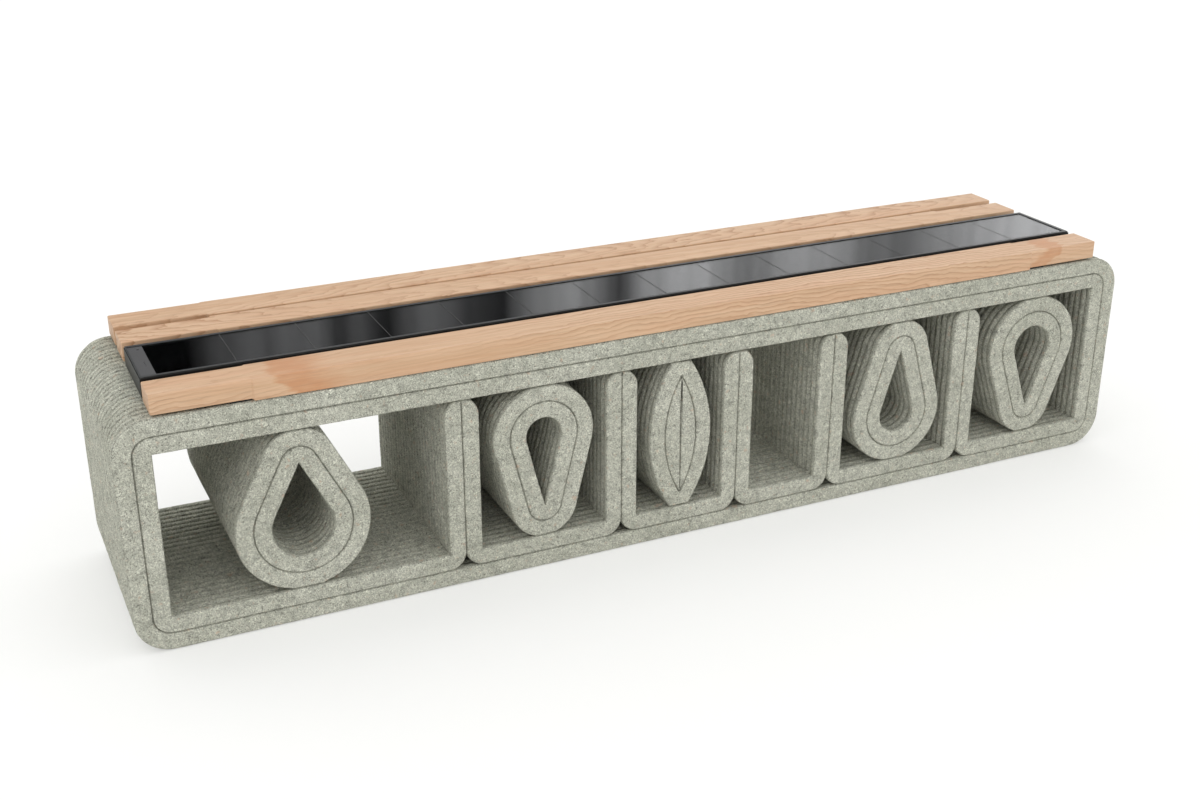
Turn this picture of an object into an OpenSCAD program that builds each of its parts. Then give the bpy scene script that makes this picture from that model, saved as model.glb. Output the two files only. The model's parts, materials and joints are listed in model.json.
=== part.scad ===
// Park bench with a printed concrete body, wooden slats and a solar charging unit.
// X runs along the bench, the front is at -Y, and Z is up from the ground.
// The origin is on the ground, below the middle of the bench. All lengths are in millimetres.

/* [Concrete body] */
// Length of the concrete body
body_l = 1990; // [1950:10:2100]
// Depth of the concrete body, from front to rear
body_d = 400; // [394:2:420]
// Height of the concrete body
body_h = 413; // [400:1:440]
// Width of a printed bead
bead_w = 31.5; // [30:0.5:33]
// Depth to which a round bead end is pressed flat on its neighbour
bead_press = 3; // [1:0.5:6]

/* [Printed layers] */
// Number of printed layers from the front face to the rear face
layer_count = 25; // [23:1:27]
// Number of layers from one groove in the solid to the next
groove_step = 5; // [1:1:8]
// Depth of a groove between two layers
groove_d = 2; // [1:0.5:2.5]
// Width of a groove between two layers
groove_w = 3; // [2:0.5:5]

/* [Bay walls, as shares of half the body's length] */
// Place of the first wall, left to right
wall_1_share = -0.426; // [-0.44:0.001:-0.41]
// Place of the second wall
wall_2_share = -0.1236; // [-0.13:0.0001:-0.115]
// Place of the third wall
wall_3_share = 0.1156; // [0.105:0.0001:0.125]
// Place of the fourth wall
wall_4_share = 0.3216; // [0.31:0.0001:0.33]
// Place of the fifth wall
wall_5_share = 0.6312; // [0.62:0.0001:0.65]

/* [Ornaments] */
// Width of the first drop, as a share of its bay's open width
drop_1_share = 0.483; // [0.42:0.001:0.55]
// Width of the second drop, as a share of its bay's open width
drop_2_share = 0.8; // [0.7:0.01:0.85]
// Width of the third drop, as a share of its bay's open width
drop_3_share = 0.816; // [0.7:0.001:0.85]
// Width of the fourth drop, as a share of its bay's open width
drop_4_share = 0.77; // [0.65:0.01:0.85]
// Distance of the first drop from the middle of its bay, to the left
drop_1_shift = 12; // [0:1:30]
// Width of the leaf's flat ends
leaf_end_w = 40; // [20:1:50]

/* [Wooden slats] */
// Distance from the end of the body to the end of a slat
slat_end_inset = 67; // [60:1:90]
// Thickness of a slat in its middle stretch
slat_t = 37; // [36:0.5:45]
// Length of an end stretch
slat_end_l = 160; // [150:1:200]
// Step on each side of a slat between its middle and its end stretch
slat_step = 3; // [1:0.5:5]
// Radius of a slat's eased edges
slat_edge_r = 2; // [1:0.5:4]
// Distance from the body's front and rear faces to the outer slats
slat_face_gap = 0; // [0:0.5:1]
// Gap between the middle and the rear slat, over their end stretches
rear_gap = 20; // [16:0.5:21]
// Gap between the middle and the rear slat, over their middle stretch
rear_mid_gap = 8; // [6:0.5:14]
// Gap between the front slat and the tray, over the end stretches
front_gap = 14; // [13:0.5:15]
// Gap between the tray and the middle slat, over the end stretches
tray_gap = 18; // [15:0.5:21]

/* [Cross bars] */
// Width of a cross bar
bar_w = 35; // [30:1:45]
// Thickness of a cross bar
bar_t = 3; // [2.5:0.5:5]
// Distance from a bar to the slats' shoulders
bar_shoulder_gap = 2; // [1:0.5:5]
// Distance from the body's front and rear faces to the ends of a bar
bar_end_gap = 6; // [4:1:15]
// Distance from a slat's side to the screws that hold it to a bar
slat_screw_edge = 13.5; // [10:0.5:18]
// Length of a slat screw
slat_screw_l = 28; // [20:1:32]
// Radius of a slat screw's shank
slat_screw_r = 2.5; // [2:0.1:3]
// Radius of a slat screw's head
slat_screw_head_r = 4.7; // [4:0.1:6]
// Height of a slat screw's head
slat_screw_head_h = 2.2; // [1.5:0.1:2.5]

/* [Anchors] */
// Length of an anchor sleeve
sleeve_l = 25; // [20:1:30]
// Outer radius of an anchor sleeve
sleeve_r = 4; // [3.5:0.1:5]
// Radius of an anchor screw's shank
anchor_r = 3; // [2.5:0.1:3.2]
// Length of an anchor screw below its head
anchor_l = 20; // [12:1:24]
// Radius of an anchor screw's head
anchor_head_r = 5.2; // [4.5:0.1:6]
// Height of an anchor screw's head
anchor_head_h = 3.3; // [2.5:0.1:4]
// Outer radius of an anchor washer
washer_r = 6; // [5.5:0.1:6.3]
// Thickness of an anchor washer
washer_t = 1.6; // [1:0.1:2]

/* [Solar tray] */
// Distance from the end of a slat to the end of the tray
tray_end_inset = 1; // [0:0.5:5]
// Width of the tray
tray_w = 153; // [151:0.5:154]
// Thickness of the tray's sheet
tray_t = 1.5; // [1:0.1:2]
// Drop from the top of the bezel to the top of the tray's walls
tray_drop = 2.5; // [1:0.5:4]
// Width of the bezel along the front, the rear and the right end
bezel_w = 6.5; // [5:0.5:8]
// Thickness of the bezel's upright legs
bezel_leg_t = 2.5; // [2:0.1:4]
// Thickness of the bezel's lip, which holds the glass down
bezel_lip_t = 1.2; // [1:0.1:2]
// Thickness of the bezel at the left end, where it has no lip
bezel_left_w = 2; // [1.5:0.5:4]
// Number of screws along each side of the bezel
bezel_screw_count = 6; // [4:1:8]
// Radius of a bezel screw's shank
bezel_screw_r = 1.2; // [1:0.1:1.5]
// Radius of a bezel screw's head
bezel_screw_head_r = 2; // [1.8:0.1:2.2]
// Height of a bezel screw's head
bezel_screw_head_h = 1; // [0.5:0.1:1]

/* [Solar panel] */
// Thickness of the front glass
glass_t = 4; // [3:0.5:5]
// Gap around the glass and the service plate
glass_gap = 0.25; // [0.2:0.05:1]
// Side of a square solar cell
cell_w = 125; // [120:1:127]
// Distance from one cell to the next
cell_pitch = 130; // [128:1:135]
// Thickness of the cells and of the filler around them
cell_t = 0.5; // [0.4:0.1:1]
// Thickness of the back sheet
back_t = 0.5; // [0.4:0.1:1]
// Length of the field without cells above the charging pad
pad_field_l = 110; // [100:1:140]
// Width of a panel rail
rail_w = 15; // [14:0.5:16]
// Wall of a panel rail
rail_wall = 1.5; // [1:0.1:3]
// Width of a gasket strip
gasket_w = 6; // [4:0.5:7]
// Thickness of a gasket strip
gasket_t = 2; // [1:0.5:3]

/* [Service plate] */
// Length of the service plate along the bench
plate_l = 24; // [22:0.5:30]
// Thickness of the service plate's sheet
plate_t = 2; // [1:0.1:2.5]
// Distance from the plate's left edge to the lights
light_x = 15.5; // [10:0.5:17]
// Radius of the status light
status_r = 2.5; // [2:0.1:3]
// Distance from the charger board's side to the status light
status_edge = 3.5; // [3.5:0.5:6]
// Radius of a level light
level_r = 1.2; // [0.8:0.1:1.6]
// Number of level lights
level_count = 4; // [3:1:5]
// Distance between the level lights
level_pitch = 6; // [4:0.5:7]
// Distance from the middle of the tray to the first level light
level_y = 7; // [0:0.5:12]
// Thickness of the strip that joins the light pipes
pipe_strip_t = 3; // [2:0.5:4]
// Width of the strip that joins the light pipes
pipe_strip_w = 4; // [3:0.5:6]

/* [Charging electronics] */
// Length of the charger board
board_l = 103; // [95:1:105]
// Gap between the charger board and the coil bracket
board_side_gap = 0.5; // [0.3:0.1:2]
// Thickness of the charger board
board_t = 1.6; // [1:0.1:2]
// Gap from the tray's left wall to the charger board
board_gap = 7; // [3:0.5:8]
// Height of a board spacer
spacer_h = 5; // [3:0.5:7]
// Outer radius of a board spacer
spacer_r = 3; // [2.5:0.1:4]
// Distance from the board's ends to its screws
spacer_edge_x = 22.5; // [18:0.5:25]
// Distance from the board's sides to its screws
spacer_edge_y = 12.5; // [12:0.5:15]
// Radius of the small inner screws
small_screw_r = 1.5; // [1:0.1:2]
// Radius of a small screw's head
small_head_r = 2.8; // [2.5:0.1:3.2]
// Height of a small screw's head
small_head_h = 2; // [1.5:0.1:2.5]
// Length of the plug on the charger board
plug_l = 12; // [10:0.5:13]
// Width of the plug on the charger board
plug_w = 9; // [7:0.5:9]
// Height of the plug on the charger board
plug_h = 10; // [8:0.5:11]
// Outer radius of the charging coil
coil_r = 29; // [25:0.5:32]
// Inner radius of the charging coil
coil_hole_r = 10; // [8:0.5:15]
// Thickness of the charging coil
coil_t = 1.5; // [1:0.1:2]
// Side of the square ferrite plate
ferrite_w = 62; // [60:0.5:66]
// Thickness of the ferrite plate
ferrite_t = 1.5; // [1:0.1:2]
// Length of the coil bracket along the bench
bracket_l = 72; // [68:0.5:74]
// Thickness of the coil bracket
bracket_t = 2; // [1:0.1:2.5]
// Distance from the left end of the tray to the middle of the coil
coil_x = 93; // [90:0.5:95]

/* [Battery and controller] */
// Distance from the charger board to the battery
battery_gap = 178; // [150:1:200]
// Width beside the battery, kept for a lead and the straps' feet
battery_lane = 22; // [20:1:26]
// Battery cells in one row along the bench
battery_columns = 6; // [3:1:6]
// Radius of a battery cell
battery_cell_r = 9.1; // [8:0.05:9.15]
// Length of a battery cell
battery_cell_l = 65; // [60:1:66]
// Distance between the cells across and along, from surface to surface
battery_cell_gap = 0.3; // [0.2:0.05:0.5]
// Wall of the battery case
battery_wall = 1.2; // [1:0.1:1.4]
// Thickness of the battery lid
battery_lid_t = 1.5; // [1:0.1:2]
// Shift of the battery towards the front, which leaves a lane for a lead
battery_shift = 4; // [3:0.5:5]
// Width of a battery strap
strap_w = 15; // [12:1:20]
// Thickness of a battery strap
strap_t = 1; // [0.8:0.1:1.5]
// Length of a strap's foot
strap_foot_l = 6.5; // [6:0.1:6.7]
// Distance from the middle of the battery to a strap
strap_x = 120; // [90:1:150]
// Distance from the battery to the charge controller
controller_gap = 73; // [60:1:100]
// Length of the charge controller
controller_l = 120; // [100:1:140]
// Gap between the charge controller and a panel rail
controller_side_gap = 3.5; // [2:0.5:5]
// Height of the charge controller
controller_h = 20; // [15:0.5:24]
// Length of the controller's two ears
ear_l = 12; // [10:0.5:16]
// Thickness of the controller's ears
ear_t = 3; // [2:0.5:5]
// Distance from the right end of the tray to the middle of the junction box
junction_inset = 255.5; // [220:0.5:320]
// Length of the junction box
junction_l = 60; // [50:1:80]
// Width of the junction box
junction_w = 50; // [40:1:70]
// Height of the junction box
junction_h = 20; // [18:0.5:22]

/* [Leads] */
// Radius of a lead
lead_r = 2.5; // [2:0.1:2.5]
// Height of the leads above the tray's floor
lead_h = 12; // [11:0.5:13]
// Distance from the middle of the tray to the battery lead
battery_lead_y = 20; // [10:1:35]
// Length of a lead clip along the lead
clip_l = 10; // [6:1:15]
// Width of a lead clip
clip_w = 9; // [7:0.5:10]
// Height of a lead clip
clip_h = 16; // [15:0.5:17]
// Distance between the clips of the solar lead
clip_pitch = 200; // [150:1:250]

/* [Tray fixing] */
// Distance from the middle of the tray to a tray screw
tray_screw_y = 30; // [20:1:38]
// Radius of a tray screw's shank
tray_screw_r = 2.5; // [2:0.1:3]
// Radius of a tray screw's head
tray_screw_head_r = 4.6; // [4:0.1:6]
// Height of a tray screw's head
tray_screw_head_h = 2.1; // [1.5:0.1:2.5]
// Length of a tray screw
tray_screw_l = 10; // [9:0.5:14]
// Height of a tray nut
nut_h = 4; // [3:0.1:5]
// Radius of a tray nut over its corners
nut_r = 4.62; // [4.5:0.01:5.5]

/* [Hidden] */
$fn = 96;
// Overrun of a cut past the face that it opens
over = 1;
// Play around a shank in a plain hole
shank_play = 0.25;
// Depth of the hexagon socket in an anchor screw's head, as a share of the head's height
socket_share = 0.6;
// Size of that socket, as a share of the head's radius
socket_r_share = 0.45;
// Distance by which a drop's straight sides lie inside its round ends, so that they cross cleanly
side_inset = 0.02;

// Concrete: lowest and highest level of the open bays, and the body's half length
bay_z0 = 2 * bead_w;
bay_z1 = body_h - 2 * bead_w;
bay_h = bay_z1 - bay_z0;
layer_l = body_d / layer_count;
groove_ys = [for (i = [groove_step:groove_step:layer_count - 1]) -body_d / 2 + i * layer_l];
half_l = body_l / 2;
wall_shares = [wall_1_share, wall_2_share, wall_3_share, wall_4_share, wall_5_share];
wall_xs = half_l * wall_shares;
bay_count = len(wall_xs) + 1;
drop_shares = [drop_1_share, drop_2_share, drop_3_share, drop_4_share];
drop_bays = [0, 1, 4, 5];
drop_shifts = [-drop_1_shift, 0, 0, 0];
leaf_bay = 2;
// A drop points up or down
drop_tips = [1, -1, 1, -1];
// Radius of the leaf's inner arcs, which makes its ends as wide as stated
leaf_end_half = leaf_end_w / 2;
leaf_r = (pow(bay_h / 2, 2) - pow(bead_w, 2) + pow(leaf_end_half - bead_w, 2))
    / (2 * (2 * bead_w - leaf_end_half));

// Seat: levels, the slats' width, which fills the body's depth, and their middle lines
slat_count = 3;
seat_z = body_h + slat_t;
bar_z = body_h + bar_t;
slat_l = body_l - 2 * slat_end_inset;
slats_d = body_d - 2 * (slat_face_gap + slat_step) - front_gap - tray_w - tray_gap - rear_gap;
slat_end_w = slats_d / slat_count;
slat_mid_w = slat_end_w + 2 * slat_step;
slat_screw_pitch = slat_end_w - 2 * slat_screw_edge;
gap_step = (rear_gap - rear_mid_gap) / 2;
slat_front_y = -body_d / 2 + slat_face_gap + slat_mid_w / 2;
slat_rear_y = body_d / 2 - slat_face_gap - slat_mid_w / 2;
slat_middle_y = slat_rear_y - slat_end_w - rear_gap;
slat_ys = [slat_front_y, slat_middle_y, slat_rear_y];
bar_x = slat_l / 2 - slat_end_l + bar_shoulder_gap + bar_w / 2;

// Tray: its middle line, inner size and levels
tray_l = slat_l - 2 * tray_end_inset;
tray_y = slat_front_y + slat_end_w / 2 + front_gap + tray_w / 2;
tray_in_l = tray_l - 2 * tray_t;
tray_in_w = tray_w - 2 * tray_t;
tray_x0 = -tray_in_l / 2;
floor_z = bar_z + tray_t;
wall_z = seat_z - tray_drop;
glass_z1 = seat_z - bezel_lip_t;
glass_z0 = glass_z1 - glass_t;
cell_z0 = glass_z0 - cell_t;
back_z0 = cell_z0 - back_t;
rail_z = back_z0 - gasket_t;
bezel_screw_l = tray_t + bezel_leg_t;
bezel_screw_z = (rail_z + wall_z) / 2;
bezel_screw_pitch = tray_in_l / bezel_screw_count;

// Anchors: in the middle of the two gaps that are open from above
anchor_ys = [(slat_front_y + slat_end_w / 2 + tray_y - tray_w / 2) / 2,
    (slat_middle_y + slat_rear_y) / 2];

// Panel and service plate
plate_x0 = tray_x0 + bezel_left_w + glass_gap;
plate_x1 = plate_x0 + plate_l;
glass_x0 = plate_x1 + glass_gap;
glass_x1 = tray_in_l / 2 - bezel_leg_t - glass_gap;
glass_w = tray_in_w - 2 * bezel_leg_t - 2 * glass_gap;
view_x1 = tray_in_l / 2 - bezel_w;
cell_count = floor((view_x1 - glass_x0 - pad_field_l) / cell_pitch);
cell_xs = [for (i = [0:cell_count - 1]) view_x1 - (i + 1 / 2) * cell_pitch];
light_ys = [for (i = [0:level_count - 1]) -level_y - i * level_pitch];
lights_x = plate_x0 + light_x;

// Electronics
rail_in_y = tray_in_w / 2 - rail_w;
board_x0 = tray_x0 + board_gap;
board_x1 = board_x0 + board_l;
board_half_w = rail_in_y - bracket_t - board_side_gap;
board_z0 = floor_z + spacer_h;
board_z1 = board_z0 + board_t;
board_x = (board_x0 + board_x1) / 2;
spacer_pitch_x = board_l - 2 * spacer_edge_x;
spacer_pitch_y = 2 * (board_half_w - spacer_edge_y);
status_y = board_half_w - status_edge;
charger_lead_y = board_half_w - plug_w / 2;
coil_mid_x = -tray_l / 2 + coil_x;
coil_z0 = back_z0 - coil_t;
ferrite_z0 = coil_z0 - ferrite_t;
bracket_z0 = ferrite_z0 - bracket_t;

// Battery
cell_step_y = 2 * battery_cell_r + battery_cell_gap;
cell_step_x = battery_cell_l + battery_cell_gap;
battery_rows = floor((2 * rail_in_y - battery_lane) / cell_step_y);
battery_in_w = battery_rows * cell_step_y + battery_cell_gap;
battery_in_l = battery_columns * cell_step_x + battery_cell_gap;
battery_w = battery_in_w + 2 * battery_wall;
battery_l = battery_in_l + 2 * battery_wall;
battery_x = board_x1 + battery_gap + battery_l / 2;
battery_y = tray_y - battery_shift;
battery_in_h = 2 * battery_cell_r;
battery_case_h = battery_wall + battery_in_h;
battery_h = battery_case_h + battery_lid_t;

// Leads
lead_z = floor_z + lead_h;
junction_x = tray_in_l / 2 - junction_inset;
junction_z0 = back_z0 - junction_h;
controller_x0 = battery_x + battery_l / 2 + controller_gap;
controller_x1 = controller_x0 + controller_l;
controller_x = (controller_x0 + controller_x1) / 2;
controller_w = 2 * (rail_in_y - controller_side_gap);
// Places of the charger lead's clips along it, from the charger board to the controller
charger_clip_shares = [0.145, 0.583, 0.94];

concrete_colour = [0.68, 0.69, 0.62];
wood_colour = [0.82, 0.64, 0.47];
steel_colour = [0.72, 0.73, 0.74];
black_colour = [0.10, 0.10, 0.11];
plate_colour = [0.30, 0.30, 0.31];
glass_colour = [0.03, 0.03, 0.04];
cell_colour = [0.05, 0.06, 0.12];
board_colour = [0.05, 0.30, 0.15];
copper_colour = [0.72, 0.45, 0.20];
lead_colour = [0.15, 0.15, 0.15];

// A box between its lowest and its highest corner
module box(low, high) {
    translate(low)
        cube(high - low);
}

// A box centred on [x, y] that stands on z
module block(size, x, y, z) {
    translate([x - size[0] / 2, y - size[1] / 2, z])
        cube(size);
}

// A round bar that stands on z
module post(r, h, x, y, z) {
    translate([x, y, z])
        cylinder(r = r, h = h);
}

// A round bar along X
module bar_along_x(r, x0, x1, y, z) {
    translate([x0, y, z])
        rotate([0, 90, 0])
            cylinder(r = r, h = x1 - x0);
}

// A flat rectangle between two corners
module flat(low, high) {
    translate(low)
        square(high - low);
}

// A flat rectangle with round corners
module flat_round(low, high, r) {
    flat(low + [r, 0], high - [r, 0]);
    flat(low + [0, r], high - [0, r]);
    for (x = [low[0] + r, high[0] - r], z = [low[1] + r, high[1] - r])
        translate([x, z])
            circle(r);
}

// Turns a flat shape in X and Z into one as deep as the body
module through_body() {
    rotate([90, 0, 0])
        linear_extrude(height = body_d, center = true)
            children();
}

// Cuts grooves between the printed layers: the first child is the bead, and the second is the
// flat shape in X and Z that each groove takes away
module grooved() {
    difference() {
        children(0);
        for (y = groove_ys)
            translate([0, y, 0])
                rotate([90, 0, 0])
                    linear_extrude(height = groove_w, center = true)
                        children(1);
    }
}

// Turns a flat shape in Y and Z into a bar along X
module along_x(x0, x1) {
    translate([x0, 0, 0])
        rotate([90, 0, 90])
            linear_extrude(height = x1 - x0)
                children();
}

// A countersunk screw that points up, its head's flat face at the origin
module sunk_screw(head_r, head_h, r, l) {
    cylinder(r1 = head_r, r2 = r, h = head_h);
    cylinder(r = r, h = l);
}

// The hole for a countersunk screw, with play around the shank
module sunk_hole(head_r, head_h, r, l) {
    translate([0, 0, -over])
        cylinder(r = head_r, h = over);
    cylinder(r1 = head_r, r2 = r, h = head_h);
    cylinder(r = r + shank_play, h = l);
}

// Left and right limit of a bay bead, which meets its neighbours at the middle of the walls
function bay_x0(i) = i == 0 ? -half_l + bead_w : wall_xs[i - 1];
function bay_x1(i) = i == bay_count - 1 ? half_l - bead_w : wall_xs[i];
function bay_mid(i) = (bay_x0(i) + bay_x1(i)) / 2;

// The corner that a bay bead loses at the bottom, where it bends up
module foot_corner(x, side) {
    difference() {
        flat([min(x, x + side * bead_w), bead_w], [max(x, x + side * bead_w), bay_z0]);
        translate([x + side * bead_w, bay_z0])
            circle(bead_w);
    }
}

// The corner that a wall loses at its top, on the side of the bay
module head_corner(x, side) {
    z = bay_z1 + bead_press - bead_w;
    difference() {
        flat([min(x, x + side * bead_w), z], [max(x, x + side * bead_w), bay_z1]);
        translate([x, z])
            circle(bead_w);
    }
}

module outer_bead() {
    color(concrete_colour)
        difference() {
            grooved() {
                through_body()
                    difference() {
                        flat_round([-half_l, 0], [half_l, body_h], 2 * bead_w);
                        flat_round([-half_l + bead_w, bead_w], [half_l - bead_w, body_h - bead_w],
                            bead_w);
                    }
                difference() {
                    flat([-half_l - over, -over], [half_l + over, body_h + over]);
                    flat_round([-half_l + groove_d, groove_d], [half_l - groove_d, body_h - groove_d],
                        2 * bead_w - groove_d);
                }
            }
            at_anchors()
                translate([0, 0, body_h - sleeve_l])
                    cylinder(r = sleeve_r, h = sleeve_l + over);
        }
}

module top_bead() {
    color(concrete_colour)
        grooved() {
            through_body()
                intersection() {
                    flat([-half_l, bay_z1], [half_l, body_h]);
                    flat_round([-half_l + bead_w, bay_z0 - bead_w], [half_l - bead_w, body_h - bead_w],
                        bead_w);
                }
            flat([-half_l + 2 * bead_w, bay_z1 - over], [half_l - 2 * bead_w, bay_z1 + groove_d]);
        }
}

module bay_bead(i) {
    x0 = bay_x0(i);
    x1 = bay_x1(i);
    color(concrete_colour)
        grooved() {
            through_body()
                difference() {
                    flat([x0, bead_w], [x1, bay_z1]);
                    flat([x0 + bead_w, bay_z0], [x1 - bead_w, bay_z1 + over]);
                    foot_corner(x0, 1);
                    foot_corner(x1, -1);
                    if (i > 0)
                        head_corner(x0, 1);
                    if (i < bay_count - 1)
                        head_corner(x1, -1);
                }
            flat([x0 + bead_w - groove_d, bay_z0 - groove_d], [x1 - bead_w + groove_d, bay_z1 + over]);
        }
}

// Width of a drop, and radius of its hollow
function drop_w(i) = drop_shares[i] * (bay_x1(drop_bays[i]) - bay_x0(drop_bays[i]) - 2 * bead_w);
function drop_r(i) = drop_w(i) / 2 - 2 * bead_w;
// Height from the middle of a drop's round end to its tip, and the slant of its sides
function drop_rise(i) = bay_h + 2 * bead_press - drop_r(i) - 4 * bead_w;
function drop_slant(i) = asin(drop_r(i) / drop_rise(i));

// Outline of a drop's hollow, grown by d on all sides
module drop_outline(i, d) {
    side = [cos(drop_slant(i)), sin(drop_slant(i))];
    tip = [0, drop_rise(i)];
    mirrored = [-side[0], side[1]];
    low_r = drop_r(i) + d - side_inset;
    circle(drop_r(i) + d);
    if (d > 0) {
        translate(tip)
            circle(d);
        polygon([low_r * side, tip + (d - side_inset) * side, tip + (d - side_inset) * mirrored,
            low_r * mirrored]);
    } else {
        polygon([low_r * side, tip, low_r * mirrored]);
    }
}

// Puts a drop's outline in its bay, pressed flat at the top and the bottom
module in_drop_bay(i) {
    bay = drop_bays[i];
    middle = (bay_z0 + bay_z1) / 2;
    low = -bay_h / 2 - bead_press + drop_r(i) + 2 * bead_w;
    intersection() {
        flat([bay_x0(bay), bay_z0], [bay_x1(bay), bay_z1]);
        translate([bay_mid(bay) + drop_shifts[i], middle])
            scale([1, drop_tips[i]])
                translate([0, low])
                    children();
    }
}

module drop_bead(i, inner_d, outer_d) {
    through_body()
        in_drop_bay(i)
            difference() {
                drop_outline(i, outer_d);
                drop_outline(i, inner_d);
            }
}

module drop_outer_bead(i) {
    bay = drop_bays[i];
    color(concrete_colour)
        grooved() {
            drop_bead(i, bead_w, 2 * bead_w);
            difference() {
                flat([bay_x0(bay), bay_z0 - over], [bay_x1(bay), bay_z1 + over]);
                in_drop_bay(i)
                    drop_outline(i, 2 * bead_w - groove_d);
            }
        }
}

module drop_inner_bead(i) {
    color(concrete_colour)
        grooved() {
            drop_bead(i, 0, bead_w);
            in_drop_bay(i)
                drop_outline(i, groove_d);
        }
}

// Outline of the leaf, between two arcs whose radius has grown by d
module leaf_outline(d) {
    z = (bay_z0 + bay_z1) / 2;
    intersection() {
        translate([bay_mid(leaf_bay) - leaf_r + bead_w, z])
            circle(leaf_r + d);
        translate([bay_mid(leaf_bay) + leaf_r - bead_w, z])
            circle(leaf_r + d);
        flat([bay_x0(leaf_bay), bay_z0], [bay_x1(leaf_bay), bay_z1]);
    }
}

module leaf_outer_bead() {
    color(concrete_colour)
        grooved() {
            through_body()
                difference() {
                    leaf_outline(bead_w);
                    leaf_outline(0);
                }
            difference() {
                flat([bay_x0(leaf_bay), bay_z0 - over], [bay_x1(leaf_bay), bay_z1 + over]);
                leaf_outline(bead_w - groove_d);
            }
        }
}

// One of the two beads in the middle of the leaf
module leaf_core_bead(side) {
    x = bay_mid(leaf_bay);
    color(concrete_colour)
        through_body()
            intersection() {
                leaf_outline(0);
                flat([min(x, x + side * bead_w), bay_z0], [max(x, x + side * bead_w), bay_z1]);
            }
}

// The profile of a slat, as far as it reaches to its front and to its rear
module slat_profile(front, rear, z0) {
    flat_round([-front, z0], [rear, seat_z], slat_edge_r);
}

// A slat, with how much wider its middle stretch is at its front and at its rear
module slat(y, front_step = slat_step, rear_step = slat_step) {
    shoulder_x = slat_l / 2 - slat_end_l;
    color(wood_colour)
        difference() {
            translate([0, y, 0]) {
                along_x(-shoulder_x, shoulder_x)
                    slat_profile(slat_end_w / 2 + front_step, slat_end_w / 2 + rear_step, body_h);
                for (x0 = [-slat_l / 2, shoulder_x - over])
                    along_x(x0, x0 + slat_end_l + over)
                        slat_profile(slat_end_w / 2, slat_end_w / 2, bar_z);
            }
            at_slat_screws(y)
                slat_screw();
        }
}

// Places of the screws of the slat whose middle line is at y
module at_slat_screws(y) {
    for (x = [-bar_x, bar_x], dy = [-slat_screw_pitch / 2, slat_screw_pitch / 2])
        translate([x, y + dy, body_h])
            children();
}

module slat_screw() {
    sunk_screw(slat_screw_head_r, slat_screw_head_h, slat_screw_r, slat_screw_l);
}

// Places of the anchors on the ground plane
module at_anchors() {
    for (x = [-bar_x, bar_x], y = anchor_ys)
        translate([x, y, 0])
            children();
}

// Places of the tray screws, at the underside of the bars
module at_tray_screws() {
    for (x = [-bar_x, bar_x], dy = [-tray_screw_y, tray_screw_y])
        translate([x, tray_y + dy, body_h])
            children();
}

module cross_bars() {
    size = [bar_w, body_d - 2 * bar_end_gap, bar_t];
    color(black_colour)
        difference() {
            for (x = [-bar_x, bar_x])
                block(size, x, 0, body_h);
            for (y = slat_ys)
                at_slat_screws(y)
                    sunk_hole(slat_screw_head_r, slat_screw_head_h, slat_screw_r, slat_screw_l);
            at_tray_screws()
                sunk_hole(tray_screw_head_r, tray_screw_head_h, tray_screw_r, tray_screw_l);
            at_anchors()
                translate([0, 0, body_h - over])
                    cylinder(r = anchor_r + shank_play, h = bar_t + 2 * over);
        }
}

module slat_screws() {
    color(steel_colour)
        for (y = slat_ys)
            at_slat_screws(y)
                slat_screw();
}

module anchor_sleeves() {
    color(steel_colour)
        at_anchors()
            translate([0, 0, body_h - sleeve_l])
                difference() {
                    cylinder(r = sleeve_r, h = sleeve_l);
                    translate([0, 0, -over])
                        cylinder(r = anchor_r, h = sleeve_l + 2 * over);
                }
}

module anchor_washers() {
    color(black_colour)
        at_anchors()
            translate([0, 0, bar_z])
                difference() {
                    cylinder(r = washer_r, h = washer_t);
                    translate([0, 0, -over])
                        cylinder(r = anchor_r + shank_play, h = washer_t + 2 * over);
                }
}

module anchor_screws() {
    color(black_colour)
        at_anchors()
            translate([0, 0, bar_z + washer_t])
                difference() {
                    union() {
                        cylinder(r = anchor_head_r, h = anchor_head_h);
                        translate([0, 0, -anchor_l])
                            cylinder(r = anchor_r, h = anchor_l + anchor_head_h / 2);
                    }
                    translate([0, 0, anchor_head_h * (1 - socket_share)])
                        cylinder(r = anchor_head_r * socket_r_share, h = anchor_head_h, $fn = 6);
                }
}

// Places of the bezel screws, each with its head at the tray's wall and its shank inwards
module at_bezel_screws() {
    for (i = [0:bezel_screw_count - 1], side = [-1, 1])
        translate([tray_x0 + (i + 1 / 2) * bezel_screw_pitch, tray_y + side * tray_w / 2, bezel_screw_z])
            rotate([side * 90, 0, 0])
                children();
}

module tray() {
    color(black_colour)
        difference() {
            block([tray_l, tray_w, wall_z - bar_z], 0, tray_y, bar_z);
            block([tray_in_l, tray_in_w, wall_z - floor_z + over], 0, tray_y, floor_z);
            at_bezel_screws()
                sunk_hole(bezel_screw_head_r, bezel_screw_head_h, bezel_screw_r, bezel_screw_l);
            at_tray_screws()
                cylinder(r = tray_screw_r + shank_play, h = bar_t + tray_t + over);
            at_floor_screws()
                translate([0, 0, -tray_t - over])
                    cylinder(r = small_screw_r, h = tray_t + 2 * over);
        }
}

// Places of all small screws on the tray's floor
module at_floor_screws() {
    at_board_screws()
        children();
    at_strap_screws()
        children();
    at_controller_screws()
        children();
}

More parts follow.
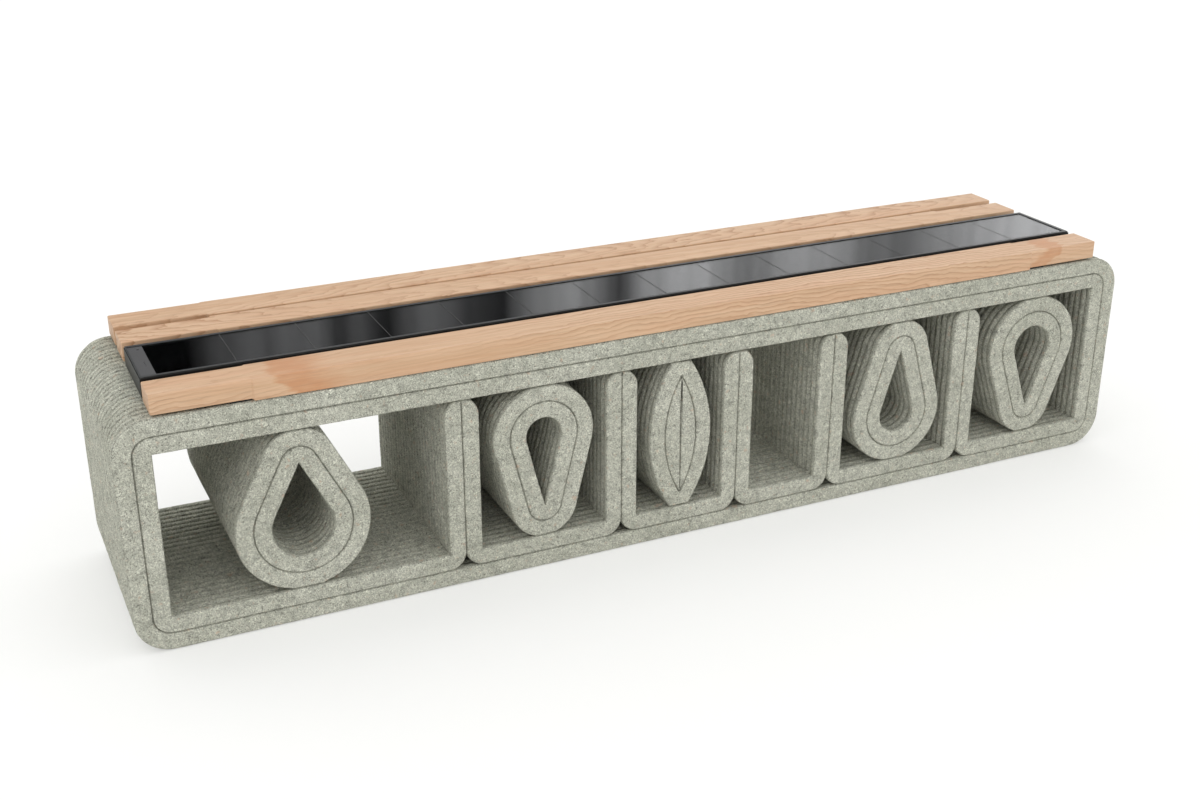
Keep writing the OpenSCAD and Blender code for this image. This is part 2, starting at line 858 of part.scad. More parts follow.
module bezel() {
    x0 = tray_x0 + bezel_left_w;
    leg_y = tray_in_w / 2 - bezel_leg_t;
    lip_y = tray_in_w / 2 - bezel_w;
    color(black_colour)
        difference() {
            block([tray_in_l, tray_in_w, seat_z - rail_z], 0, tray_y, rail_z);
            box([x0, tray_y - leg_y, rail_z - over], [tray_in_l / 2 - bezel_leg_t, tray_y + leg_y, glass_z1]);
            box([x0, tray_y - lip_y, rail_z - over], [view_x1, tray_y + lip_y, seat_z + over]);
            at_bezel_screws()
                cylinder(r = bezel_screw_r, h = bezel_screw_l);
        }
}

module bezel_screws() {
    color(black_colour)
        at_bezel_screws()
            sunk_screw(bezel_screw_head_r, bezel_screw_head_h, bezel_screw_r, bezel_screw_l);
}

// A flat layer of the panel
module panel_layer(z, t) {
    box([glass_x0, tray_y - glass_w / 2, z], [glass_x1, tray_y + glass_w / 2, z + t]);
}

module front_glass() {
    color(glass_colour)
        panel_layer(glass_z0, glass_t);
}

module solar_cells() {
    color(cell_colour)
        for (x = cell_xs)
            block([cell_w, cell_w, cell_t], x, tray_y, cell_z0);
}

module cell_filler() {
    color(lead_colour)
        difference() {
            panel_layer(cell_z0, cell_t);
            for (x = cell_xs)
                block([cell_w, cell_w, cell_t + 2 * over], x, tray_y, cell_z0 - over);
        }
}

module back_sheet() {
    color(lead_colour)
        panel_layer(back_z0, back_t);
}

module panel_rails() {
    color(steel_colour)
        for (side = [-1, 1])
            translate([0, tray_y + side * (rail_in_y + rail_w / 2), 0])
                difference() {
                    block([tray_in_l, rail_w, rail_z - floor_z], 0, 0, floor_z);
                    block([tray_in_l + 2 * over, rail_w - 2 * rail_wall,
                        rail_z - floor_z - 2 * rail_wall], 0, 0, floor_z + rail_wall);
                }
}

module panel_gaskets() {
    l = glass_x1 - plate_x0;
    color(lead_colour)
        for (side = [-1, 1])
            block([l, gasket_w, gasket_t], (plate_x0 + glass_x1) / 2,
                tray_y + side * (glass_w - gasket_w) / 2, rail_z);
}

// Places of the lights, and the radius of each
module at_lights() {
    translate([lights_x, tray_y + status_y, 0])
        children(0);
    for (y = light_ys)
        translate([lights_x, tray_y + y, 0])
            children(1);
}

module service_plate() {
    h = glass_z1 - back_z0;
    inner = glass_w - 2 * gasket_w;
    color(plate_colour)
        difference() {
            box([plate_x0, tray_y - glass_w / 2, back_z0], [plate_x1, tray_y + glass_w / 2, glass_z1]);
            box([plate_x0 + plate_t, tray_y - inner / 2, back_z0 - over],
                [plate_x1 - plate_t, tray_y + inner / 2, glass_z1 - plate_t]);
            translate([0, 0, back_z0])
                at_lights() {
                    cylinder(r = status_r, h = h + over);
                    cylinder(r = level_r, h = h + over);
                }
        }
}

module light_pipes() {
    h = glass_z1 - board_z1;
    strip_z = (board_z1 + back_z0) / 2;
    last_y = light_ys[level_count - 1];
    color("white")
        union() {
            translate([0, 0, board_z1])
                at_lights() {
                    cylinder(r = status_r, h = h);
                    cylinder(r = level_r, h = h);
                }
            box([lights_x - pipe_strip_w / 2, tray_y + last_y, strip_z],
                [lights_x + pipe_strip_w / 2, tray_y + status_y, strip_z + pipe_strip_t]);
        }
}

// Places of the board screws, on the tray's floor
module at_board_screws() {
    for (dx = [-spacer_pitch_x / 2, spacer_pitch_x / 2], dy = [-spacer_pitch_y / 2, spacer_pitch_y / 2])
        translate([board_x + dx, tray_y + dy, floor_z])
            children();
}

module charger_board() {
    color(board_colour)
        difference() {
            union() {
                block([board_l, 2 * board_half_w, board_t], board_x, tray_y, board_z0);
                block([plug_l, plug_w, board_t + plug_h], board_x1 - plug_l / 2,
                    tray_y + charger_lead_y, board_z0);
            }
            at_board_screws()
                cylinder(r = small_screw_r + shank_play, h = spacer_h + board_t + over);
        }
}

module board_spacers() {
    color(steel_colour)
        at_board_screws()
            difference() {
                cylinder(r = spacer_r, h = spacer_h);
                translate([0, 0, -over])
                    cylinder(r = small_screw_r + shank_play, h = spacer_h + 2 * over);
            }
}

// A small pan head screw that goes down through the tray's floor, its head on top of a height
module small_screw(height) {
    translate([0, 0, height])
        cylinder(r = small_head_r, h = small_head_h);
    translate([0, 0, -tray_t])
        cylinder(r = small_screw_r, h = tray_t + height + small_head_h / 2);
}

module board_screws() {
    color(steel_colour)
        at_board_screws()
            small_screw(spacer_h + board_t);
}

module charging_coil() {
    color(copper_colour)
        translate([coil_mid_x, tray_y, coil_z0])
            difference() {
                cylinder(r = coil_r, h = coil_t);
                translate([0, 0, -over])
                    cylinder(r = coil_hole_r, h = coil_t + 2 * over);
            }
}

module ferrite_plate() {
    color(lead_colour)
        block([ferrite_w, ferrite_w, ferrite_t], coil_mid_x, tray_y, ferrite_z0);
}

module coil_bracket() {
    w = 2 * rail_in_y;
    color(steel_colour)
        difference() {
            block([bracket_l, w, ferrite_z0 - floor_z], coil_mid_x, tray_y, floor_z);
            block([bracket_l + 2 * over, w - 2 * bracket_t, bracket_z0 - floor_z + over],
                coil_mid_x, tray_y, floor_z - over);
        }
}

module battery_case() {
    color(lead_colour)
        difference() {
            block([battery_l, battery_w, battery_case_h], battery_x, battery_y, floor_z);
            block([battery_in_l, battery_in_w, battery_in_h + over], battery_x, battery_y,
                floor_z + battery_wall);
        }
}

module battery_cells() {
    x0 = battery_x - battery_in_l / 2 + battery_cell_gap;
    y0 = battery_y - battery_in_w / 2 + battery_cell_gap + battery_cell_r;
    color("steelblue")
        for (i = [0:battery_columns - 1], j = [0:battery_rows - 1])
            bar_along_x(battery_cell_r, x0 + i * cell_step_x, x0 + i * cell_step_x + battery_cell_l,
                y0 + j * cell_step_y, floor_z + battery_wall + battery_cell_r);
}

module battery_lid() {
    color(lead_colour)
        block([battery_l, battery_w, battery_lid_t], battery_x, battery_y, floor_z + battery_case_h);
}

module at_straps() {
    for (x = [battery_x - strap_x, battery_x + strap_x])
        translate([x, battery_y, floor_z])
            children();
}

module at_strap_screws() {
    y = battery_w / 2 + strap_t + strap_foot_l / 2;
    for (side = [-1, 1])
        at_straps()
            translate([0, side * y, 0])
                children();
}

module battery_straps() {
    half_w = battery_w / 2;
    color(steel_colour)
        difference() {
            at_straps()
                difference() {
                    union() {
                        block([strap_w, battery_w + 2 * strap_t, battery_h + strap_t], 0, 0, 0);
                        block([strap_w, battery_w + 2 * strap_t + 2 * strap_foot_l, strap_t], 0, 0, 0);
                    }
                    block([strap_w + 2 * over, battery_w, battery_h + over], 0, 0, -over);
                }
            at_strap_screws()
                translate([0, 0, -over])
                    cylinder(r = small_screw_r + shank_play, h = strap_t + 2 * over);
        }
}

module strap_screws() {
    color(steel_colour)
        at_strap_screws()
            small_screw(strap_t);
}

module at_controller_screws() {
    for (x = [controller_x0 - ear_l / 2, controller_x1 + ear_l / 2])
        translate([x, tray_y, floor_z])
            children();
}

module charge_controller() {
    color(plate_colour)
        difference() {
            union() {
                block([controller_l, controller_w, controller_h], controller_x, tray_y, floor_z);
                block([controller_l + 2 * ear_l, ear_l, ear_t], controller_x, tray_y, floor_z);
            }
            at_controller_screws()
                translate([0, 0, -over])
                    cylinder(r = small_screw_r + shank_play, h = ear_t + 2 * over);
        }
}

module controller_screws() {
    color(steel_colour)
        at_controller_screws()
            small_screw(ear_t);
}

module junction_box() {
    color(lead_colour)
        block([junction_l, junction_w, junction_h], junction_x, tray_y, junction_z0);
}

module lead(x0, x1, dy) {
    color(lead_colour)
        bar_along_x(lead_r, x0, x1, tray_y + dy, lead_z);
}

module solar_lead() {
    lead(controller_x1, junction_x - junction_l / 2, 0);
}

module battery_lead() {
    lead(battery_x + battery_l / 2, controller_x0, -battery_lead_y);
}

module charger_lead() {
    lead(board_x1, controller_x0, charger_lead_y);
}

// One clip, which stands on the tray's floor and holds a lead
module lead_clip(x, dy) {
    difference() {
        block([clip_l, clip_w, clip_h], x, tray_y + dy, floor_z);
        bar_along_x(lead_r, x - clip_l, x + clip_l, tray_y + dy, lead_z);
    }
}

module lead_clips() {
    color(lead_colour) {
        for (share = charger_clip_shares)
            lead_clip(board_x1 + share * (controller_x0 - board_x1), charger_lead_y);
        for (x = [controller_x1 + clip_pitch / 2:clip_pitch:junction_x - junction_l])
            lead_clip(x, 0);
    }
}

module tray_screws() {
    color(steel_colour)
        at_tray_screws()
            sunk_screw(tray_screw_head_r, tray_screw_head_h, tray_screw_r, tray_screw_l);
}

module tray_nuts() {
    color(steel_colour)
        at_tray_screws()
            translate([0, 0, bar_t + tray_t])
                difference() {
                    cylinder(r = nut_r, h = nut_h, $fn = 6);
                    translate([0, 0, -over])
                        cylinder(r = tray_screw_r, h = nut_h + 2 * over);
                }
}

outer_bead();
top_bead();
bay_bead(0);  // bay_bead_1
bay_bead(1);  // bay_bead_2
bay_bead(2);  // bay_bead_3
bay_bead(3);  // bay_bead_4
bay_bead(4);  // bay_bead_5
bay_bead(5);  // bay_bead_6
drop_outer_bead(0);  // drop_outer_bead_1
drop_outer_bead(1);  // drop_outer_bead_2
drop_outer_bead(2);  // drop_outer_bead_3
drop_outer_bead(3);  // drop_outer_bead_4
drop_inner_bead(0);  // drop_inner_bead_1
drop_inner_bead(1);  // drop_inner_bead_2
drop_inner_bead(2);  // drop_inner_bead_3
drop_inner_bead(3);  // drop_inner_bead_4
leaf_outer_bead();
leaf_core_bead(-1);  // leaf_left_bead
leaf_core_bead(1);  // leaf_right_bead
slat(slat_front_y);  // slat_front
slat(slat_middle_y, rear_step = gap_step);  // slat_middle
slat(slat_rear_y, front_step = gap_step);  // slat_rear
cross_bars();
slat_screws();
anchor_sleeves();
anchor_washers();
anchor_screws();
tray();
bezel();
bezel_screws();
front_glass();
solar_cells();
cell_filler();
back_sheet();
panel_rails();
panel_gaskets();
service_plate();
light_pipes();
charger_board();
board_spacers();
board_screws();
charging_coil();
ferrite_plate();
coil_bracket();
battery_case();
battery_cells();
battery_lid();
battery_straps();
strap_screws();
charge_controller();
controller_screws();
junction_box();
solar_lead();
battery_lead();
charger_lead();
lead_clips();
tray_screws();
tray_nuts();
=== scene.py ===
# Looks of the solar charging bench. Everything is in metres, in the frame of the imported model.
import json
import math
import random

import bmesh
import bpy
import numpy as np
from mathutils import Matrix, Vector
from mathutils.geometry import tessellate_polygon


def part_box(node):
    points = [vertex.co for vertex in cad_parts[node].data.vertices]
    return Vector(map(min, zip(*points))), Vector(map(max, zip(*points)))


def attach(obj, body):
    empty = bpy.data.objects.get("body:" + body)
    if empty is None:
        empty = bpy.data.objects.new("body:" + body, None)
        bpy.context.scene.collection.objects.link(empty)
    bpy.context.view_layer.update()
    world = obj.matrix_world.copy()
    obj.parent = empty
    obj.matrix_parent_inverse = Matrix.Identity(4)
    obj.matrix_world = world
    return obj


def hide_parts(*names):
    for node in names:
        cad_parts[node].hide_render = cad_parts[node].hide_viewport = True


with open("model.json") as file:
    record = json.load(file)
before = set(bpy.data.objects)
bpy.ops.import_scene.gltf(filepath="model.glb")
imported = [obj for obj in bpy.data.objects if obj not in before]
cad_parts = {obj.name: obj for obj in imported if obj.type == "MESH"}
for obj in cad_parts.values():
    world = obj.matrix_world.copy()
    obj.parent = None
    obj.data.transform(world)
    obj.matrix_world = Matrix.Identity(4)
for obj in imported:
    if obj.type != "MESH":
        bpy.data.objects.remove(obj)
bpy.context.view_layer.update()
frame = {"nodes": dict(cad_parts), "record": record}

BODY = "root"

# Concrete body: width of a bead, how far beads are pressed flat where they meet, layers in depth,
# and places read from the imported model's own boxes
BEAD = 0.0315
PRESS = 0.003
LAYERS = 25
BODY_LOW, BODY_HIGH = (Vector(corner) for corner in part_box("outer_bead"))
BAY_Z0 = 2 * BEAD
BAY_Z1 = BODY_HIGH.z - 2 * BEAD
MID_Z = (BAY_Z0 + BAY_Z1) / 2
BAYS = [tuple(corner.x for corner in map(Vector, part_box(f"bay_bead_{i + 1}"))) for i in range(6)]
INNER_LOW = (BODY_LOW.x + BEAD, BODY_LOW.z + BEAD)
INNER_HIGH = (BODY_HIGH.x - BEAD, BODY_HIGH.z - BEAD)

# Ornament: drops with the tip up (1) or down (-1), the leaf's bay, and half of its flat ends
DROP_TIPS = (1, -1, 1, -1)
LEAF_BAY = 2
LEAF_END_HALF = 0.020

# How a printed bead looks: depth of the groove between layers, half gap at a seam, and how deep and
# how far in its front edge is rounded, on open sides and at seams
LAYER = (BODY_HIGH.y - BODY_LOW.y) / LAYERS
GROOVE = 0.0040
SEAM = 0.0001
EDGE = 0.0048
EDGE_IN = 0.0042
SEAM_EDGE = 0.0050
SEAM_EDGE_IN = 0.0034

# How far from its corners a joined side begins
CORNER_RUN = 0.003

# Uneven surface: height of its lumps, how far a layer wanders, and the lengths of those waves
LUMP = 0.0004
LAYER_DRIFT = 0.00016
DRIFT_LENGTHS = (0.31, 0.13)
LUMP_WAVES = ((0.19, 0.9), (0.075, 0.8), (0.034, 0.7), (0.019, 0.5))
WAVES_EACH = 5

# How finely a bead is meshed: steps along it, points taken as one, how far corners are drawn out,
# rings in each layer and in its rounded edge, and the crease angle of its normals
PATH_STEP = 0.008
HIDDEN_STEP = 12 * PATH_STEP
ARC_STEP = 0.006
SAME_POINT = 1e-5
MITRE_LIMIT = 0.8
RING_SHARES = (0.0, 0.09, 0.26, 0.5, 0.74, 0.91)
EDGE_DEPTHS = (0.0, 0.0003, 0.001, 0.0021, 0.0034, 0.0045)
EDGE_CLEAR = SEAM_EDGE + 0.0005
BEAD_CREASE = math.radians(38)

# The front glass: its cell fields, its lift off the cells and the ease of its edges
CELL_PITCH = 0.130
CELL_GAP = 0.005
FIELDS_END = Vector(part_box("solar_cells")[1]).x + CELL_GAP / 2
GLASS_LIFT = 0.0001
GLASS_EASE = 0.0003

# The score cut between two fields, the matt line on it, and the roughness, tints and IOR elsewhere
SCORE_HALF = 0.0005
SCORE_DEPTH = 0.0002
LINE_HALF = 0.0006
LINE_GREY = (0.22, 0.22, 0.22)
LINE_MATT = 0.8
GLASS_POLISH = (0.008, 0.022)
GLASS_TINTS = ((0.62, 0.64, 0.67, 1.0), (0.68, 0.70, 0.72, 1.0))
GLASS_IOR = 1.62

# Wooden slats: steps at the shoulders, soft run of a shoulder, rounding, and fineness of the mesh
SLAT_STEP = 0.003
GAP_STEP = 0.006
SLAT_RISE = 0.003
SHOULDER_X = 0.768
SHOULDER_RUN = 0.005
SHOULDER_STEPS = 12
SLAT_EDGE = 0.002
SLAT_EASE = 0.0018
EASE_RUNS = (0.0, 0.0003, 0.0009, SLAT_EASE)
SLAT_ARC = 6
SLAT_CREASE = math.radians(40)

# Random waves for the lumps, then each layer's own drift, always drawn in this order
rng = random.Random(11)
WAVES = []
for wavelength, size in LUMP_WAVES:
    for _ in range(WAVES_EACH):
        direction = Vector((rng.gauss(0, 1), rng.gauss(0, 1), rng.gauss(0, 1))).normalized()
        wave = np.array(direction) * math.tau / wavelength
        WAVES.append((wave, rng.uniform(0, math.tau), size / WAVES_EACH))
DRIFT = [
    (rng.gauss(0, 1), rng.uniform(0, math.tau), rng.uniform(0, math.tau))
    for _ in range(LAYERS + 1)
]

# How a side of an outline shows: hidden in a seam, seen, or joined to another bead with no gap
HIDDEN, SEEN, JOINED = 0, 1, 2


def lumps(points):
    """Uneven surface height, about -1 to 1, at each row of points."""
    total = np.zeros(len(points))
    for wave, phase, size in WAVES:
        total += size * np.sin(points @ wave + phase)
    return total


def drift(layer, run):
    """How far in a layer lies at each length along its bead."""
    amount, phase, phase2 = DRIFT[layer]
    wave = np.sin(run * math.tau / DRIFT_LENGTHS[0] + phase)
    wave = wave + 0.6 * np.sin(run * math.tau / DRIFT_LENGTHS[1] + phase2)
    return LAYER_DRIFT * (0.5 * amount + 0.5 * wave + 1)


class Outline:
    """A closed run of points in X and Z with the concrete on its left, and how each side shows."""

    def __init__(self):
        self.points = []
        self.seen = []

    def to(self, x, z, seen):
        """A straight run to a point."""
        if self.points:
            x0, z0 = self.points[-1]
            run = math.hypot(x - x0, z - z0)
            count = max(1, round(run / (PATH_STEP if seen == SEEN else HIDDEN_STEP)))
            for i in range(1, count):
                share = i / count
                self.points.append((x0 + (x - x0) * share, z0 + (z - z0) * share))
                self.seen.append(seen)
        self.points.append((x, z))
        self.seen.append(seen)

    def arc(self, x, z, r, a0, a1, seen):
        """A run round a centre from angle a0 to a1, in degrees."""
        count = max(3, math.ceil(abs(math.radians(a1 - a0)) * r / ARC_STEP))
        start = (x + r * math.cos(math.radians(a0)), z + r * math.sin(math.radians(a0)))
        if not self.points or math.dist(self.points[-1], start) > SAME_POINT:
            self.to(*start, seen)
        for i in range(1, count + 1):
            a = math.radians(a0 + (a1 - a0) * i / count)
            self.points.append((x + r * math.cos(a), z + r * math.sin(a)))
            self.seen.append(seen)

    def without_last(self):
        """The last point taken off, where it repeats the first."""
        self.points.pop()
        self.seen.pop()
        return self

    def close(self, seen):
        """The straight run back to the start."""
        self.to(*self.points[0], seen)
        return self.without_last()

    def mirrored(self, z):
        """The same outline upside down about a height."""
        other = Outline()
        other.points = [(px, 2 * z - pz) for px, pz in reversed(self.points)]
        other.seen = list(reversed(self.seen))
        return other

    def turned(self):
        """The same outline run the other way, for a hollow."""
        other = Outline()
        other.points = list(reversed(self.points))
        other.seen = list(reversed(self.seen))
        return other


def outward(points):
    """Direction out of the concrete at each point, longer at corners to keep sides parallel."""
    here = np.array(points)
    ahead = np.roll(here, -1, axis=0) - here
    ahead /= np.linalg.norm(ahead, axis=1)[:, None]
    right = np.stack([ahead[:, 1], -ahead[:, 0]], axis=1)
    both = right + np.roll(right, 1, axis=0)
    return 2 * both / np.maximum((both ** 2).sum(axis=1), MITRE_LIMIT)[:, None]


def ring_list(layered):
    """Rings from front to rear: (y, groove depth share, depth from the nearest face, layer)."""
    y0, y1 = BODY_LOW.y, BODY_HIGH.y
    depths = EDGE_DEPTHS + (SEAM_EDGE,)
    rings = [(y0 + depth, 0.0, depth, 0) for depth in depths]
    if layered:
        for layer in range(LAYERS):
            for share in RING_SHARES:
                y = y0 + (layer + share) * LAYER
                bulge = math.sqrt(max(0.0, 1 - (2 * share - 1) ** 2))
                if y0 + EDGE_CLEAR < y < y1 - EDGE_CLEAR:
                    rings.append((y, 1 - bulge, min(y - y0, y1 - y), layer))
    else:
        rings.append((0.0, 0.0, y1, 0))
    rings += [(y1 - depth, 0.0, depth, LAYERS - 1) for depth in reversed(depths)]
    return rings


def eased(depth, reach):
    """How far in a rounded edge still is at a depth behind the face, from 1 down to 0."""
    share = min(depth / reach, 1.0)
    return 1 - math.sqrt(1 - (1 - share) ** 2)


def shown(name, mesh, material):
    """A new object in the scene that shows a mesh in one material."""
    made = bpy.data.objects.new(name, mesh)
    bpy.context.scene.collection.objects.link(made)
    mesh.materials.append(material)
    return made


def cap_faces(verts, loops, front):
    """Triangles that close a bead at its front or rear, turned to face out of it."""
    flat = [index for loop in loops for index in loop]
    shape = [[Vector((verts[i][0], verts[i][2], 0)) for i in loop] for loop in loops]
    faces = []
    for triangle in tessellate_polygon(shape):
        a, b, c = (flat[i] for i in triangle)
        u = Vector(verts[b]) - Vector(verts[a])
        v = Vector(verts[c]) - Vector(verts[a])
        toward_front = u.cross(v).y < 0
        faces.append((a, b, c) if toward_front == front else (a, c, b))
    return faces


def bead(name, node, outlines):
    """A printed bead: outlines carried from front to rear, with grooves between the layers."""
    verts, faces = [], []
    front, rear = [], []
    for outline in outlines:
        points = np.array(outline.points)
        seen = (np.array(outline.seen) == SEEN).astype(float)
        hidden = (np.array(outline.seen) == HIDDEN).astype(float)
        normal = outward(outline.points)
        run = np.concatenate([[0], np.cumsum(np.linalg.norm(np.diff(points, axis=0), axis=1))])
        rings = ring_list(seen.any())
        base = len(verts)
        count = len(points)
        for y, groove, depth, layer in rings:
            place = np.stack([points[:, 0], np.full(count, y), points[:, 1]], axis=1)
            inset = seen * (GROOVE * groove + drift(layer, run) + LUMP * (1 + lumps(place)))
            inset = inset + seen * EDGE_IN * eased(depth, EDGE)
            inset = inset + hidden * (SEAM + SEAM_EDGE_IN * eased(depth, SEAM_EDGE))
            place[:, 0] -= normal[:, 0] * inset
            place[:, 2] -= normal[:, 1] * inset
            verts += place.tolist()
        for r in range(len(rings) - 1):
            low, high = base + r * count, base + (r + 1) * count
            for i in range(count):
                j = (i + 1) % count
                faces.append((low + i, low + j, high + j, high + i))
        front.append(range(base, base + count))
        rear.append(range(len(verts) - count, len(verts)))
    sides = len(faces)
    faces += cap_faces(verts, front, True) + cap_faces(verts, rear, False)
    mesh = bpy.data.meshes.new(name)
    mesh.from_pydata(verts, [], faces)
    mesh.polygons.foreach_set("use_smooth", [i < sides for i in range(len(faces))])
    mesh.set_sharp_from_angle(angle=BEAD_CREASE)
    mesh.update()
    piece = shown(name, mesh, CONCRETE)
    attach(piece, BODY)
    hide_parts(node)


def rounded(x0, z0, x1, z1, r, seen):
    """A rectangle with round corners."""
    shape = Outline()
    shape.arc(x0 + r, z0 + r, r, 180, 270, seen)
    shape.arc(x1 - r, z0 + r, r, 270, 360, seen)
    shape.arc(x1 - r, z1 - r, r, 0, 90, seen)
    shape.arc(x0 + r, z1 - r, r, 90, 180, seen)
    return shape.close(seen)


def top_outline():
    """The second bead under the seat, which lies on the bays' beads inside the ring."""
    x0, x1 = INNER_LOW[0], INNER_HIGH[0]
    corner_z = INNER_HIGH[1] - BEAD
    shape = Outline()
    shape.to(x0, BAY_Z1, HIDDEN)
    shape.to(x0 + CORNER_RUN, BAY_Z1, JOINED)
    shape.to(x0 + BEAD - CORNER_RUN, BAY_Z1, JOINED)
    shape.to(x0 + BEAD, BAY_Z1, SEEN)
    shape.to(x1 - BEAD, BAY_Z1, SEEN)
    shape.to(x1 - BEAD + CORNER_RUN, BAY_Z1, JOINED)
    shape.to(x1 - CORNER_RUN, BAY_Z1, JOINED)
    shape.to(x1, BAY_Z1, HIDDEN)
    shape.arc(x1 - BEAD, corner_z, BEAD, 0, 90, HIDDEN)
    shape.arc(x0 + BEAD, corner_z, BEAD, 90, 180, HIDDEN)
    return shape.without_last()


def bay_outline(i):
    """The bead that lines one bay: left leg, bottom and right leg."""
    x0, x1 = BAYS[i]
    head_z = BAY_Z1 + PRESS - BEAD
    head_a = math.degrees(math.asin((BEAD - PRESS) / BEAD))
    shape = Outline()
    shape.arc(x0 + BEAD, BAY_Z0, BEAD, 180, 270, HIDDEN)
    shape.arc(x1 - BEAD, BAY_Z0, BEAD, 270, 360, HIDDEN)
    shape.to(x1, BAY_Z1, HIDDEN)
    if i < len(BAYS) - 1:
        shape.arc(x1, head_z, BEAD, 180 - head_a, 180, SEEN)
    else:
        shape.to(x1 - CORNER_RUN, BAY_Z1, JOINED)
        shape.to(x1 - BEAD + CORNER_RUN, BAY_Z1, JOINED)
        shape.to(x1 - BEAD, BAY_Z1, SEEN)
    shape.to(x1 - BEAD, BAY_Z0, SEEN)
    shape.to(x0 + BEAD, BAY_Z0, SEEN)
    if i > 0:
        shape.arc(x0, head_z, BEAD, 0, head_a, SEEN)
    else:
        shape.to(x0 + BEAD, BAY_Z1, SEEN)
        shape.to(x0 + BEAD - CORNER_RUN, BAY_Z1, JOINED)
        shape.to(x0 + CORNER_RUN, BAY_Z1, JOINED)
    shape.to(x0, BAY_Z1, HIDDEN)
    return shape.close(HIDDEN)


def drop_outline(n, grown, seen, cut=False):
    """A drop's hollow grown on all sides, and pressed flat where it meets the bay if cut is set."""
    low, high = (Vector(corner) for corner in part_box(f"drop_outer_bead_{n + 1}"))
    mid_x = (low.x + high.x) / 2
    r0 = (high.x - low.x) / 2 - 2 * BEAD
    rise = BAY_Z1 - BAY_Z0 + 2 * PRESS - r0 - 4 * BEAD
    belly_z = BAY_Z0 - PRESS + r0 + 2 * BEAD
    tip_z = belly_z + rise
    slant = math.degrees(math.asin(r0 / rise))
    r = r0 + grown
    shape = Outline()
    if cut:
        press_a = math.degrees(math.asin((r - PRESS) / r))
        shape.arc(mid_x, belly_z, r, 180 - slant, 180 + press_a, seen)
        shape.to(mid_x + r * math.cos(math.radians(press_a)), BAY_Z0, HIDDEN)
        shape.arc(mid_x, belly_z, r, 360 - press_a, 360 + slant, seen)
        tip_a = math.degrees(math.asin((grown - PRESS) / grown))
        shape.arc(mid_x, tip_z, grown, slant, tip_a, seen)
        shape.to(mid_x - grown * math.cos(math.radians(tip_a)), BAY_Z1, HIDDEN)
        shape.arc(mid_x, tip_z, grown, 180 - tip_a, 180 - slant, seen)
    else:
        shape.arc(mid_x, belly_z, r, 180 - slant, 360 + slant, seen)
        if grown > 0:
            shape.arc(mid_x, tip_z, grown, slant, 180 - slant, seen)
        else:
            shape.to(mid_x, tip_z, seen)
    shape.close(seen)
    if DROP_TIPS[n] < 0:
        shape = shape.mirrored(MID_Z)
    return shape


def leaf_parts():
    """The leaf's outer outline, its hollow, and the two halves of its core."""
    x0, x1 = BAYS[LEAF_BAY]
    mid_x = (x0 + x1) / 2
    half_h = (BAY_Z1 - BAY_Z0) / 2
    r = (half_h ** 2 - BEAD ** 2 + (LEAF_END_HALF - BEAD) ** 2) / (2 * (2 * BEAD - LEAF_END_HALF))
    shift = r - BEAD
    cut_a = math.degrees(math.asin(half_h / (r + BEAD)))
    outer = Outline()
    outer.arc(mid_x - shift, MID_Z, r + BEAD, -cut_a, cut_a, SEEN)
    outer.to(mid_x - LEAF_END_HALF, BAY_Z1, HIDDEN)
    outer.arc(mid_x + shift, MID_Z, r + BEAD, 180 - cut_a, 180 + cut_a, SEEN)
    outer.close(HIDDEN)
    tip_a = math.degrees(math.acos(shift / r))
    tip_z = r * math.sin(math.radians(tip_a))
    hollow = Outline()
    hollow.arc(mid_x - shift, MID_Z, r, -tip_a, tip_a, HIDDEN)
    hollow.arc(mid_x + shift, MID_Z, r, 180 - tip_a, 180 + tip_a, HIDDEN)
    hollow.without_last()
    right = Outline()
    right.arc(mid_x - shift, MID_Z, r, -tip_a, tip_a, HIDDEN)
    right.close(HIDDEN)
    left = Outline()
    left.arc(mid_x + shift, MID_Z, r, 180 - tip_a, 180 + tip_a, HIDDEN)
    left.close(HIDDEN)
    return outer, hollow.turned(), left, right


def linear(colour):
    """A colour given as it is seen, turned into linear light."""
    light = (c / 12.92 if c <= 0.04045 else ((c + 0.055) / 1.055) ** 2.4 for c in colour)
    return (*light, 1.0)


